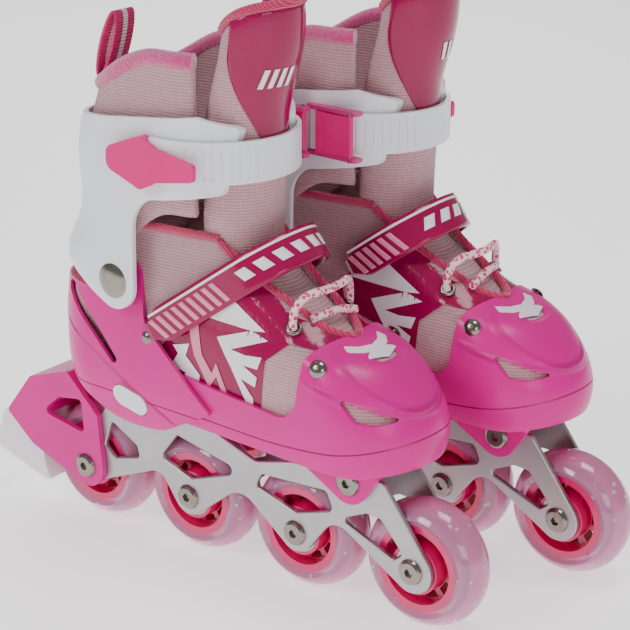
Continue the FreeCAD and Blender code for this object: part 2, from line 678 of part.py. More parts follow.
def make_hardware():
    """Ankle pivot rivets, the small rivets of the heel shell and the lace eyelets."""
    cuff_half = 38
    ankle = dome("ankle_rivet", 8.8, 1.6, size("pivot_radius"), 9.5)
    ankle_near = link("ankle_near", ankle, "sizes.pivot_x", str(-cuff_half - 0.25), "sizes.pivot_z")
    spacer = doc.addObject("Part::Cylinder", "ankle_spacer")
    spacer.Radius = 7
    spacer.Height = 2.8
    spacer.Placement = FreeCAD.Placement(V(size("pivot_x"), -35.1, size("pivot_z")), ACROSS)
    near = fuse("ankle_near_whole", [ankle_near, spacer])
    small = dome("heel_rivet", 3.4, 1.6, 1.6, 2.4)
    rivet = link("heel_rivet_near", small, "59", "-32.5", "121")
    ring = doc.addObject("Part::Torus", "eyelet")
    ring.Radius1 = 3.1
    ring.Radius2 = 0.9
    eyelets = []
    places = ((V(142.4, -22.1, 141.8), V(0.37, -0.53, 0.77)), (V(120, -22.1, 150.6), V(0.26, -0.76, 0.6)))
    for i, (place, facing) in enumerate(places):
        eyelet = doc.addObject("App::Link", f"eyelet_{i}")
        eyelet.LinkedObject = ring
        eyelet.Placement = FreeCAD.Placement(place, FreeCAD.Rotation(V(0, 0, 1), facing))
        eyelets.append(eyelet)
    near_parts = group("hardware_near", [near, rivet] + eyelets)
    stand(group("hardware", [near_parts, mirrored("hardware_far", near_parts)]), "boot_hardware")


def make_toe_rivets():
    head = dome("toe_rivet", 4.2, 1.8, 1.8, 1.6)
    near = doc.addObject("App::Link", "toe_rivet_near")
    near.LinkedObject = head
    turn = FreeCAD.Rotation(V(0, 0, 1), 17).multiply(FreeCAD.Rotation(V(1, 0, 0), -30))
    near.Placement = FreeCAD.Placement(V(162.6, -30.6, 128.8), turn)
    near_part = group("toe_rivet_placed", [near])
    stand(group("toe_rivet_pair", [near_part, mirrored("toe_rivet_far", near_part)]), "toe_rivets")


# ---------------------------------------------------------------- straps

def make_ratchet_strap():
    """Toothed plastic strap, bent round the tongue, with one arm to each side of the cuff."""
    inner = size("strap_radius")
    outer = inner + size("strap_thickness")
    half = size("strap_width") / 2
    front = size("strap_front_x")
    low = size("strap_z") - half
    high = size("strap_z") + half
    ring = form([(z, 20, outer, front, outer) for z in (low, high)])
    ring = ring.cut(form([(z, 20, inner, front, inner) for z in (low, high)]))
    ring = ring.common(Part.makeBox(300, 200, 400, V(size("strap_end_x"), -100, 0)))
    tooth = 1.5
    count = 9
    for i in range(count):
        angle = math.radians(20 + 6 * i)
        centre = V(front + outer * math.sin(angle), -outer * math.cos(angle), size("strap_z"))
        groove = Part.makeBox(tooth, 1.0, size("strap_width") - 5, V(-tooth / 2, -0.5, -half + 2.5))
        groove.rotate(V(), V(0, 0, 1), math.degrees(angle))
        groove.translate(centre)
        ring = ring.cut(groove)
        opposite = groove.mirror(V(), V(0, 1, 0))
        ring = ring.cut(opposite)
    stand(shaped("ratchet", ring), "ratchet_strap")


CUFF_SIDE = 38.35


def make_strap_anchor():
    """Pink arrow-shaped anchor on the cuff's outer side; the strap's end runs under its point."""
    middle = size("strap_z") - 2.5
    loop = rounded([(47, middle - 5, 5), (68, middle - 13, 4), (78, middle - 8, 3), (101, middle - 4, 2),
                    (101, middle + 4, 2), (78, middle + 8, 3), (68, middle + 13, 4), (47, middle + 5, 5)])
    outline = face_of(loop)
    outline.rotate(V(), V(1, 0, 0), 90)
    cover = size("strap_radius") + size("strap_thickness") + 0.4
    plate = outline.extrude(V(0, 2.4, 0))
    plate.translate(V(0, -cover - 2.4, 0))
    foot = outline.extrude(V(0, cover - CUFF_SIDE + 0.1, 0))
    foot.translate(V(0, -cover, 0))
    foot = foot.common(Part.makeBox(size("strap_end_x") - 0.8, 100, 400, V(0, -100, 0)))
    stand(shaped("anchor", plate.fuse(foot).removeSplitter()), "strap_anchor")


LEVER_PIN_X = 97.5
LEVER_PIN_Y = 43.9


def make_buckle():
    """Buckle on the cuff's other side: base with two cheeks, pin with spring, and the release lever."""
    low = size("strap_z") - size("strap_width") / 2 - 0.6
    tall = size("strap_width") + 1.2
    cheek = 2
    pin_radius = 1
    floor = Part.makeBox(8.5, 0.6, tall + 2 * cheek, V(70, size("strap_radius") - 0.65, low - cheek))
    cheeks = []
    for z in (low - cheek, low + tall):
        loop = rounded([(70, 38.4, 0.3), (102, 38.4, 0.3), (102, LEVER_PIN_Y + 0.5, 2.2), (70, 42, 1)])
        side = face_of(loop).extrude(V(0, 0, cheek))
        side.translate(V(0, 0, z))
        cheeks.append(side)
    base = floor.fuse(cheeks)
    base = base.common(Part.makeBox(40, 20, 100, V(68, size("strap_radius") - 0.65, 180)))
    bore = Part.makeCylinder(pin_radius, 60, V(LEVER_PIN_X, LEVER_PIN_Y - 0.8, 190))
    stand(shaped("base", base.cut(bore)), "buckle_base")
    pin = Part.makeCylinder(pin_radius, tall + 2 * cheek + 0.8, V(LEVER_PIN_X, LEVER_PIN_Y - 0.8, low - cheek - 0.4))
    stand(shaped("pin", pin), "buckle_pin")
    inner = LEVER_PIN_Y - 2.3
    thick = 2.8
    grip = rounded([(77, inner, 0.8), (99.2, inner, 1.3), (99.2, inner + thick, 1.3), (77, inner + thick, 1.2)])
    lever = face_of(grip).extrude(V(0, 0, tall - 0.8))
    lever.translate(V(0, 0, low + 0.4))
    lever = lever.cut(Part.makeCylinder(pin_radius + size("run_gap"), 60, V(LEVER_PIN_X, LEVER_PIN_Y - 0.8, 190)))
    for z in (-6, 0, 6):
        for x in (81.5, 86):
            dimple = Part.makeSphere(1.3, V(x, inner + thick + 1, size("strap_z") + z))
            lever = lever.cut(dimple)
    stand(shaped("lever", lever), "buckle_lever")


def make_instep_strap():
    """Hook-and-loop band over the instep: sewn on at one side, pressed down at the other."""
    ring = band_ring(0.0)
    stand(shaped("band", max(ring.Solids, key=lambda solid: solid.Volume)), "instep_strap")


# ---------------------------------------------------------------- heel brake, on the right skate only

def make_brake():
    """Brake arm straddling the rear wheel, its rubber pad and the long rear axle bolt."""
    axle = size("wheel_radius")
    arm_loop = belt([(-54, 50, 2.5), (-37.5, 37.5, 3.5), (0.5, axle, 11.5), (6.5, 61, 3), (-12, 79, 3),
                     (-36, 69, 5)])
    body, sketch = new_body("arm", "XZ_Plane", arm_loop)
    pad(body, sketch, "2 * sizes.brake_half_width", midplane=True)
    doc.recompute()
    openings = [[(-25, 57, 2.5), (-3, 53, 2.5), (-4, 66, 2.5), (-17, 64, 2.5)]]
    for i, loop in enumerate(openings):
        pocket_through(body, add_sketch(body, f"arm_opening_{i}", "XZ_Plane", belt(loop)))
    doc.recompute()
    room = size("wheel_radius") + 3
    well = Part.makeCylinder(room, 2 * PLATE_OUTER + 0.4, V(0, -PLATE_OUTER - 0.2, axle), V(0, 1, 0))
    step = Part.makeBox(60, 2 * PLATE_OUTER + 0.4, 90, V(-8, -PLATE_OUTER - 0.2, 0))
    bore = Part.makeCylinder(size("axle_radius"), 80, V(0, -40, axle), V(0, 1, 0))
    tools = shaped("arm_room", well.fuse([step, bore]))
    arm = cut("arm_cut", body, tools)
    right(arm, "brake_arm")
    pad_loop = rounded([(-71, 25, 2), (-33, 13, 4), (-16, 23, 2), (-36, 44, 2), (-56, 52, 2), (-64, 46, 3)])
    block = prism(pad_loop, 15).cut(prism(arm_loop))
    block = block.cut(Part.makeCylinder(room, 60, V(0, -30, axle), V(0, 1, 0)))
    right(shaped("pad_block", max(block.Solids, key=lambda solid: solid.Volume)), "brake_pad")
    bolt = make_bolt("brake", size("brake_half_width"))
    holder = link("brake_bolt_place", bolt, "0", "0", "sizes.wheel_radius")
    right(group("brake_bolt_group", [holder]), "brake_bolt")


# ---------------------------------------------------------------- the model

place_wheels()
make_bearings()
make_frame()
make_frame_bolts()
make_sole()
heel_solid = make_heel_shell()
make_size_button()
toe_sweep = make_toe_shell()
make_cuff()
make_upper(heel_solid, toe_sweep)
make_shaft()
make_tongue()
make_lace()
make_hardware()
make_toe_rivets()
make_ratchet_strap()
make_strap_anchor()
make_buckle()
make_instep_strap()
make_brake()
doc.recompute()

for item in doc.Objects:
    bad = [state for state in item.State if state in ("Invalid", "Error")]
    if bad:
        raise RuntimeError(f"{item.Name}: {bad}")

os.makedirs("parts", exist_ok=True)
for node, piece in sorted(NODES.items()):
    shape = Part.getShape(piece)
    if shape.isNull() or not shape.isValid() or not shape.Solids:
        raise RuntimeError(f"{node}: bad shape")
    shape.exportStep(f"parts/{node}.step")
print(len(NODES), "nodes")
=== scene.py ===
import math
import bmesh
import bpy
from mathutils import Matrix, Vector
from mathutils.bvhtree import BVHTree


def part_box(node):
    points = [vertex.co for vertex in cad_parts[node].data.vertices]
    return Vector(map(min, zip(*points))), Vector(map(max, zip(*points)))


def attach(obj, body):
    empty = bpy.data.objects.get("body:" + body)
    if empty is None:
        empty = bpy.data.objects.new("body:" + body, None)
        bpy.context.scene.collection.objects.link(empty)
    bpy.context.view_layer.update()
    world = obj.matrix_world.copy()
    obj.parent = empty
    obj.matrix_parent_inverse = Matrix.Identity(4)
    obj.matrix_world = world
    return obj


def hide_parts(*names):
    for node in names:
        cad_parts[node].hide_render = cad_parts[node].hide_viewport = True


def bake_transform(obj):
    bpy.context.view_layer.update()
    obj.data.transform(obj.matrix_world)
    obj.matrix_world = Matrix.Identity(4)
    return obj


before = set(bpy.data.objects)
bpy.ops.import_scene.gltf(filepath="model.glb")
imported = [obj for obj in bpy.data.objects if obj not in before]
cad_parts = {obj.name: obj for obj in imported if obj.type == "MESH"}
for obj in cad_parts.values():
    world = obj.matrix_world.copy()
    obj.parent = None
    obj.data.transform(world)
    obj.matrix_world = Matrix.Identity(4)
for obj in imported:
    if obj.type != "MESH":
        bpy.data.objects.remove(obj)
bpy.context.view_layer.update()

# Camera: a long lens just under a metre away, looking down over the right skate's outer side at the pair.
view_turn = math.radians(37.25)
view_rise = math.radians(19.81)
view_aim = Vector((0.00723, 0, 0.12068))
view_back = Vector((math.sin(view_turn) * math.cos(view_rise), -math.cos(view_turn) * math.cos(view_rise),
                    math.sin(view_rise)))
lens = bpy.data.cameras.new("camera")
lens.lens = 110.18
camera = bpy.data.objects.new("camera", lens)
camera.location = view_aim + view_back * 0.97598
camera.rotation_euler = view_back.to_track_quat("Z", "Y").to_euler()
bpy.context.collection.objects.link(camera)
bpy.context.scene.camera = camera


# Studio: a pale floor that glows a little, a white surround and four soft boxes.
# None of it belongs to the skates.
class Wire:
    """A shader socket. Arithmetic on it adds the Math nodes."""

    def __init__(self, finish, socket):
        self.finish = finish
        self.socket = socket

    def maths(self, operation, *others):
        inputs = {i: value for i, value in enumerate((self,) + others)}
        return self.finish.node("ShaderNodeMath", {"operation": operation}, inputs)

    def __add__(self, other):
        return self.maths("ADD", other)

    def __sub__(self, other):
        return self.maths("SUBTRACT", other)

    def __mul__(self, other):
        return self.maths("MULTIPLY", other)

    def __rsub__(self, other):
        return self.maths("MULTIPLY", -1) + other

    __radd__ = __add__
    __rmul__ = __mul__

    def sine(self):
        return self.maths("SINE")

    def size(self):
        return self.maths("ABSOLUTE")

    def below(self, edge, soft):
        """1 where the value is under edge, 0 above it, turning over within soft."""
        span = {"From Min": edge - soft, "From Max": edge + soft, "To Min": 1.0, "To Max": 0.0, 0: self}
        return self.finish.node("ShaderNodeMapRange", {"interpolation_type": "SMOOTHSTEP"}, span)


class Finish:
    """One material: a principled shader, and one call that adds any other node to it."""

    def __init__(self, name, colour=(0.8, 0.8, 0.8), **shader):
        self.material = bpy.data.materials.new(name)
        self.material.use_nodes = True
        self.tree = self.material.node_tree
        self.shader = self.tree.nodes["Principled BSDF"]
        self.set(**{"Base Color": (*colour, 1)})
        self.set(**{key.replace("_", " "): value for key, value in shader.items()})

    def set(self, **inputs):
        for key, value in inputs.items():
            self.plug(self.shader.inputs[key], value)

    def plug(self, socket, value):
        if isinstance(value, Wire):
            self.tree.links.new(value.socket, socket)
        else:
            socket.default_value = value

    def node(self, kind, settings=None, inputs=None, output=0):
        item = self.tree.nodes.new(kind)
        for key, value in (settings or {}).items():
            setattr(item, key, value)
        for key, value in (inputs or {}).items():
            self.plug(item.inputs[key], value)
        return Wire(self, item.outputs[output])

    def mix(self, factor, first, second):
        inputs = {0: factor, 6: first if isinstance(first, Wire) else (*first, 1),
                  7: second if isinstance(second, Wire) else (*second, 1)}
        return self.node("ShaderNodeMix", {"data_type": "RGBA"}, inputs, 2)

    def place(self):
        return self.node("ShaderNodeTexCoord", output=3)

    def axis(self, vector, index):
        return self.node("ShaderNodeSeparateXYZ", None, {0: vector}, index)

    def noise(self, scale, detail=3.0, vector=None):
        inputs = {"Vector": vector or self.place(), "Scale": scale, "Detail": detail}
        return self.node("ShaderNodeTexNoise", None, inputs)

    def bump(self, height, depth):
        """Raises the surface by height (0 to 1) times depth in metres."""
        inputs = {"Height": height, "Distance": depth, "Strength": 1.0}
        self.plug(self.shader.inputs["Normal"], self.node("ShaderNodeBump", None, inputs))
        return self


def add_piece(name, bm, material):
    """Turns a bmesh into an object at the origin."""
    mesh = bpy.data.meshes.new(name)
    bm.to_mesh(mesh)
    bm.free()
    piece = bpy.data.objects.new(name, mesh)
    bpy.context.collection.objects.link(piece)
    mesh.materials.append(material)
    for face in mesh.polygons:
        face.use_smooth = True
    return piece


floor_finish = Finish("floor_paper", (0.93, 0.93, 0.94), Roughness=0.6)
floor_finish.set(**{"Emission Color": (1, 1, 1, 1), "Emission Strength": 0.9})
floor_shape = bmesh.new()
bmesh.ops.create_grid(floor_shape, x_segments=1, y_segments=1, size=6)
add_piece("floor", floor_shape, floor_finish.material)
surround = bpy.data.worlds.new("surround")
surround.use_nodes = True
surround.node_tree.nodes["Background"].inputs["Color"].default_value = (1, 1, 1, 1)
surround.node_tree.nodes["Background"].inputs["Strength"].default_value = 0.32
bpy.context.scene.world = surround
for name, place, power, width in (("key", (-0.5, -1.4, 1.3), 13, 0.6), ("fill", (1.6, -0.9, 0.7), 6, 0.7),
                                  ("top", (0.3, 0.1, 1.7), 10, 0.6), ("rim", (-1.0, 1.2, 0.9), 5, 0.7)):
    box_light = bpy.data.lights.new(name, "AREA")
    box_light.energy = power
    box_light.size = width
    soft_box = bpy.data.objects.new(name, box_light)
    soft_box.location = place
    soft_box.rotation_euler = (Vector(place) - view_aim).to_track_quat("Z", "Y").to_euler()
    bpy.context.collection.objects.link(soft_box)


# The two skates: each has its own frame in millimetres, from its rear axle, its centre plane and the ground.
# The left one is the mirror image of the right one.
class Skate:
    """One skate's place in the row frame."""

    def __init__(self, side):
        low, high = (Vector(corner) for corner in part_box(f"{side}_tyre_1"))
        self.side = side
        self.hand = 1 if side == "right" else -1
        self.rear = Vector(((low.x + high.x) / 2, (low.y + high.y) / 2, 0))
        self.root = f"{side}_skate"

    def at(self, x, y, z):
        return self.rear + Vector((x, y * self.hand, z)) / 1000

    def name(self, part):
        """The name of one of this skate's nodes, bodies or pieces."""
        return f"{self.side}_{part}"

    def inside(self, finish):
        """The skate's own x, y and z in millimetres, as shader values."""
        spot = finish.place()
        x = (finish.axis(spot, 0) - self.rear.x) * 1000
        y = (finish.axis(spot, 1) - self.rear.y) * (1000 * self.hand)
        return x, y, finish.axis(spot, 2) * 1000


skates = [Skate("right"), Skate("left")]


def paint(finish, *nodes):
    """Gives nodes of the part their finish."""
    for node in nodes:
        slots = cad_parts[node].data.materials
        slots.clear()
        slots.append(finish.material)


# Wheels: clear cast urethane with flecks of silver foil in it, over a spoked pink hub.
# Each hub holds two shielded ball bearings.
foil = Finish("tyre_urethane", (0.97, 0.84, 0.93), Roughness=0.08, IOR=1.46)
foil.set(**{"Transmission Weight": 0.5, "Coat Weight": 0.4, "Subsurface Weight": 0.2})
cells = foil.node("ShaderNodeTexVoronoi", None, {"Vector": foil.place(), "Scale": 150.0})
flecks = cells.below(0.16, 0.02)
foil.set(**{"Base Color": foil.mix(flecks, (0.9, 0.34, 0.58), (1.0, 0.97, 1.0))})
foil.bump(flecks, 0.0004)
hub_gloss = Finish("hub_plastic", (0.75, 0.005, 0.14), Roughness=0.22, Coat_Weight=0.5)
hub_gloss.set(**{"Base Color": hub_gloss.mix(hub_gloss.noise(40), (0.78, 0.006, 0.16), (0.6, 0.003, 0.1))})
steel = Finish("bearing_steel", (0.45, 0.44, 0.44), Metallic=1.0, Roughness=0.3)
steel.set(Roughness=steel.noise(300) * 0.2 + 0.2)
for skate in skates:
    paint(steel, skate.name("wheel_bearings"))
    for number in range(1, 5):
        paint(foil, skate.name(f"tyre_{number}"))
        paint(hub_gloss, skate.name(f"hub_{number}"))

# Frame: pressed aluminium side plates with a bead-blasted surface. The bolts are nickel-plated.
aluminium = Finish("frame_aluminium", (0.83, 0.83, 0.84), Metallic=0.9, Roughness=0.42)
grain = aluminium.noise(2500, 2)
aluminium.set(Roughness=grain * 0.16 + 0.34)
aluminium.set(**{"Base Color": aluminium.mix(aluminium.noise(60), (0.5, 0.49, 0.49), (0.42, 0.41, 0.42))})
aluminium.bump(grain, 0.00004)
nickel = Finish("nickel_plate", (0.78, 0.74, 0.67), Metallic=1.0, Roughness=0.2)
smudge = nickel.noise(220)
nickel.set(Roughness=smudge * 0.22 + 0.1)
nickel.set(**{"Base Color": nickel.mix(smudge, (0.34, 0.31, 0.27), (0.2, 0.18, 0.15))})
for skate in skates:
    paint(aluminium, skate.name("frame"))
    paint(nickel, skate.name("frame_bolts"), skate.name("buckle_pin"), skate.name("boot_hardware"),
          skate.name("toe_rivets"))
paint(nickel, "right_brake_bolt")

# Sole, heel shell and toe shell: injection-moulded hot pink plastic, satin, with sculpted creases and a rim.
shell_light = (0.76, 0.0, 0.3)
shell_deep = (0.66, 0.0, 0.23)
for skate in skates:
    pink = Finish(skate.name("shell_plastic"), shell_light, Roughness=0.3, Coat_Weight=0.1)
    pink.set(**{"Specular IOR Level": 0.22, "Coat Roughness": 0.15})
    x, y, z = skate.inside(pink)
    forward = (x - 120).maths("MAXIMUM", 0)
    rim = (z - forward * forward * 0.0016).below(86.0, 0.5) * x.below(400, 1)
    upper_crease = (z + x * 0.24 - 158.5).size().below(0.9, 1.5) * (1 - x.below(160, 8))
    front_crease = (z + x * 0.62 - 235.5).size().below(0.7, 1.4) * (1 - x.below(166, 8))
    heel_crease = (z + x * 0.55 - 117.5).size().below(0.7, 1.4) * x.below(74, 6)
    relief = rim * 0.8 + upper_crease + front_crease * 0.8 + heel_crease
    pink.bump(relief + pink.noise(900, 2) * 0.02, 0.0016)
    pink.set(**{"Base Color": pink.mix(pink.noise(14), shell_light, shell_deep)})
    pink.set(Roughness=pink.noise(90) * 0.14 + 0.24)
    paint(pink, skate.name("sole_base"), skate.name("heel_shell"), skate.name("toe_shell"))
    if skate.side == "right":
        paint(pink, "right_brake_arm")

# Cuff, ratchet strap and size button: white satin plastic; the anchor and the buckle's lever are pink.
white = Finish("white_plastic", (0.88, 0.88, 0.9), Roughness=0.36, Coat_Weight=0.2)
white.set(**{"Subsurface Weight": 0.1})
white.set(Roughness=white.noise(120) * 0.16 + 0.3)
white.set(**{"Base Color": white.mix(white.noise(12), (0.91, 0.9, 0.92), (0.85, 0.84, 0.88))})
white.bump(white.noise(1800, 2), 0.00003)
fitting = Finish("fitting_plastic", (0.8, 0.004, 0.2), Roughness=0.3, Coat_Weight=0.1)
fitting.set(**{"Specular IOR Level": 0.22})
fitting.set(**{"Base Color": fitting.mix(fitting.noise(60), (0.82, 0.005, 0.22), (0.7, 0.003, 0.16))})
dark_base = Finish("buckle_plastic", (0.6, 0.02, 0.22), Roughness=0.4)
dark_base.set(Roughness=dark_base.noise(200) * 0.2 + 0.3)
pad_rubber = Finish("brake_rubber", (0.86, 0.84, 0.88), Roughness=0.5)
pad_rubber.set(**{"Subsurface Weight": 0.25})
pad_rubber.set(**{"Base Color": pad_rubber.mix(pad_rubber.noise(50), (0.9, 0.88, 0.91), (0.8, 0.77, 0.82))})
pad_rubber.bump(pad_rubber.noise(700), 0.0001)
for skate in skates:
    paint(white, skate.name("cuff"), skate.name("ratchet_strap"), skate.name("size_button"))
    paint(fitting, skate.name("strap_anchor"), skate.name("buckle_lever"))
    paint(dark_base, skate.name("buckle_base"))
paint(pad_rubber, "right_brake_pad")


# Outer shoe: a sewn shell of beige-pink mesh, open along the throat, that sits inside the plastic shells.
# Its sections are an arc round the heel and an arc round the toes, joined by straight sides.
SHOE_ROWS = ((86, 18.6, 22, 172, 33.1), (96, 18.6, 23.6, 172, 33.7), (105, 18.6, 24, 169.8, 33.5),
             (114, 18.6, 24.8, 165.5, 32.5), (123, 18.8, 27.5, 160, 30.3), (130, 19.6, 29, 152, 27.7),
             (135, 20.4, 29.3, 138.5, 26.2), (141, 21.4, 29.4, 127, 25.8), (148, 22.6, 29.4, 116.8, 25.2),
             (155, 24, 29.4, 107.4, 24), (163, 26, 29.4, 99, 23.5), (175, 28.5, 29.4, 92, 23.5),
             (190, 31, 29.4, 86, 24))


def smooth(value):
    """0 below 0, 1 above 1 and an even turn between."""
    value = min(max(value, 0.0), 1.0)
    return value * value * (3 - 2 * value)


def row_at(rows, z):
    """The section at one height, on smooth curves through the rows."""
    last = len(rows) - 1
    i = max(0, min(last - 1, sum(1 for row in rows if row[0] <= z) - 1))
    before, low, high, after = (rows[max(0, min(last, i + k))] for k in (-1, 0, 1, 2))
    t = (z - low[0]) / (high[0] - low[0])
    values = []
    for k in range(1, len(low)):
        rise_low = (high[k] - before[k]) / (high[0] - before[0])
        rise_high = (after[k] - low[k]) / (after[0] - low[0])
        span = high[0] - low[0]
        values.append(low[k] * (2 * t ** 3 - 3 * t ** 2 + 1) + high[k] * (3 * t ** 2 - 2 * t ** 3)
                      + span * rise_low * (t ** 3 - 2 * t ** 2 + t) + span * rise_high * (t ** 3 - t ** 2))
    return values


def round_section(row, share, inset=0.0):
    """A point of a section: share 0 is the toe, 1 the heel, along one side."""
    heel_x, heel_r, toe_x, toe_r = row
    angle = math.acos(max(-1, min(1, (heel_r - toe_r) / (toe_x - heel_x))))
    straight = math.sqrt((toe_x - heel_x) ** 2 - (heel_r - toe_r) ** 2)
    lengths = (toe_r * angle, straight, heel_r * (math.pi - angle))
    way = share * sum(lengths)
    if way < lengths[0]:
        turn = way / toe_r
        return toe_x + (toe_r - inset) * math.cos(turn), (toe_r - inset) * math.sin(turn)
    way -= lengths[0]
    if way < lengths[1]:
        along = way / straight
        x = toe_x + (heel_x - toe_x) * along
        r = toe_r + (heel_r - toe_r) * along - inset
        return x + r * math.cos(angle), r * math.sin(angle)
    turn = angle + (way - lengths[1]) / heel_r
    return heel_x + (heel_r - inset) * math.cos(turn), (heel_r - inset) * math.sin(turn)


def girth(row):
    """Half the length round a section."""
    heel_x, heel_r, toe_x, toe_r = row
    angle = math.acos(max(-1, min(1, (heel_r - toe_r) / (toe_x - heel_x))))
    return toe_r * angle + heel_r * (math.pi - angle) + math.hypot(toe_x - heel_x, heel_r - toe_r)


def throat_gap(z):
    """Half the width of the throat at one height."""
    if z <= 136:
        return 0.0
    return min(22.5, 10.5 * math.sqrt(min(1, (z - 136) / 4)) + 0.35 * max(0, z - 140))


def shoe_point(share, z, inset=0.0, open_throat=True):
    """A point of the shoe's surface; share runs from the throat's edge (0) to the heel (1)."""
    row = row_at(SHOE_ROWS, z)
    start = throat_gap(z) / row[3] if open_throat else 0.0
    start = math.asin(min(0.97, start)) * row[3] / girth(row)
    x, y = round_section(row, start + (1 - start) * share, inset)
    return x, y, z


def shoe_top(share):
    """The height of the shoe's top edge: high at the throat, low round the heel."""
    return 139.5 + 37.5 * smooth((0.78 - share) / 0.36)


def wrap(name, columns, rows, spot, finish, merge=False):
    """A sheet made from a flat grid. spot turns (across, up), from 0 to 1, into a place and its map."""
    bm = bmesh.new()
    bmesh.ops.create_grid(bm, x_segments=columns, y_segments=rows, size=0.5)
    flat = {vert: (vert.co.x + 0.5, vert.co.y + 0.5) for vert in bm.verts}
    layer = bm.loops.layers.uv.new("cloth")
    placed = {vert: spot(*where) for vert, where in flat.items()}
    for face in bm.faces:
        for loop in face.loops:
            loop[layer].uv = placed[loop.vert][1]
    for vert, (co, uv) in placed.items():
        vert.co = co
    if merge:
        bmesh.ops.remove_doubles(bm, verts=bm.verts, dist=0.0001)
    return add_piece(name, bm, finish.material)


def outwards(piece, centre):
    """Turns the sheet's faces away from a point inside it."""
    bm = bmesh.new()
    bm.from_mesh(piece.data)
    total = 0
    for face in bm.faces:
        total += (face.calc_center_median() - centre).dot(face.normal) * face.calc_area()
    if total < 0:
        bmesh.ops.reverse_faces(bm, faces=bm.faces)
    bm.to_mesh(piece.data)
    bm.free()


def thicken(piece, depth, offset=-1.0):
    """Gives a sheet its thickness: offset -1 adds it on the inside, 0 on both sides."""
    solid = piece.modifiers.new("thickness", "SOLIDIFY")
    solid.thickness = depth
    solid.offset = offset
    solid.use_even_offset = False


def weave(name, light, deep, pitch=0.0019):
    """Coarse knitted mesh: staggered raised knots over holes darkened with painted shade, mapped along the
    cloth.
    """
    cloth = Finish(name, light, Roughness=0.75)
    cloth.set(**{"Sheen Weight": 0.25})
    chart = cloth.node("ShaderNodeUVMap", {"uv_map": "cloth"})
    across = cloth.axis(chart, 0) * (2 * math.pi / pitch)
    along = cloth.axis(chart, 1) * (2 * math.pi / (pitch * 0.8))
    knots = (across + along * 0.5).sine() * (across - along * 0.5).sine()
    raised = knots * 0.5 + 0.5
    # Painted shade: the colour darkens into the holes between the knots, where the bump is low; the noise
    # adds random tone.
    painted_hole_shade_and_tone = raised * 0.8 + cloth.noise(400) * 0.35
    cloth.set(**{"Base Color": cloth.mix(painted_hole_shade_and_tone, deep, light)})
    return cloth.bump(raised, 0.0005)


# The darker colour given to each weave is the painted shade in its holes.
mesh_cloth = weave("beige_mesh", (0.8, 0.5, 0.53), (0.4, 0.13, 0.19))
sock_cloth = weave("sock_mesh", (0.76, 0.48, 0.5), (0.4, 0.15, 0.2), 0.0016)
tape = Finish("binding_tape", (0.78, 0.02, 0.16), Roughness=0.75)
tape.set(**{"Sheen Weight": 0.4})
# The rib pattern drives the bump, and the same wave darkens the colour in the grooves between the ribs as
# painted shade.
rib_and_painted_groove_shade = (tape.axis(tape.place(), 0) * 4200 + tape.axis(tape.place(), 2) * 4200).sine()
tape.set(**{"Base Color": tape.mix(rib_and_painted_groove_shade * 0.5 + 0.5, (0.45, 0.002, 0.07), (0.75, 0.015, 0.14))})
tape.bump(rib_and_painted_groove_shade, 0.00025)


def tube(name, points, radius, finish):
    """A bead of tape or thread along points."""
    curve = bpy.data.curves.new(name, "CURVE")
    curve.dimensions = "3D"
    curve.bevel_depth = radius
    curve.bevel_resolution = 3
    curve.use_fill_caps = True
    line = curve.splines.new("NURBS")
    line.points.add(len(points) - 1)
    for spot, place in zip(line.points, points):
        spot.co = (*place, 1)
    line.order_u = 3
    line.use_endpoint_u = True
    holder = bpy.data.objects.new(name, curve)
    bpy.context.collection.objects.link(holder)
    bpy.context.view_layer.update()
    mesh = bpy.data.meshes.new_from_object(holder)
    bpy.data.objects.remove(holder)
    piece = bpy.data.objects.new(name, mesh)
    bpy.context.collection.objects.link(piece)
    mesh.materials.clear()
    mesh.materials.append(finish.material)
    for face in mesh.polygons:
        face.use_smooth = True
    return piece


def follow_toe(piece, skate):
    """Bakes the piece's transform into its mesh."""
    skate.name("toe")
    skate.at(120, 0, 110)
    skate.at(165, 0, 110)
    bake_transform(piece)


shoes = {}
for skate in skates:
    def shoe_spot(across, up, skate=skate):
        share = 1 - abs(2 * across - 1)
        side = -1 if across < 0.5 else 1
        z = 88 + (shoe_top(share) - 88) * up
        x, y, z = shoe_point(share, z)
        return skate.at(x, y * side, z), (side * share * 0.19, z / 1000)

    shoe = wrap(skate.name("outer_shoe"), 150, 46, shoe_spot, mesh_cloth, merge=True)
    outwards(shoe, skate.at(90, 0, 120))
    shoes[skate.side] = BVHTree.FromObject(shoe, bpy.context.evaluated_depsgraph_get())
    thicken(shoe, 0.003)
    follow_toe(shoe, skate)
    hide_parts(skate.name("boot_upper"))

    def sock_spot(across, up, skate=skate):
        side = 2 * across - 1
        z = 128 + 50 * up
        x, y, z = shoe_point(abs(side) * 0.3, z, 4.5, open_throat=False)
        return skate.at(x, math.copysign(y, side), z), (side * 0.05, z / 1000)

    sock = wrap(skate.name("throat_lining"), 40, 30, sock_spot, sock_cloth)
    outwards(sock, skate.at(60, 0, 120))
    follow_toe(sock, skate)

    edge = [shoe_point(0, z) for z in [176 - 2 * i for i in range(19)] + [138, 137, 136.3, 136]]
    lips = [skate.at(x, -y, z) for x, y, z in edge] + [skate.at(x, y, z) for x, y, z in reversed(edge[:-1])]
    lip = tube(skate.name("throat_binding"), lips, 0.0021, tape)
    follow_toe(lip, skate)
    collar_points = []
    for i in range(61):
        across = i / 60
        share = 1 - abs(2 * across - 1)
        x, y, z = shoe_point(share, shoe_top(share))
        collar_points.append(skate.at(x, y * (-1 if across < 0.5 else 1), z))
    hem = tube(skate.name("collar_binding"), collar_points, 0.0021, tape)
    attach(hem, skate.root)


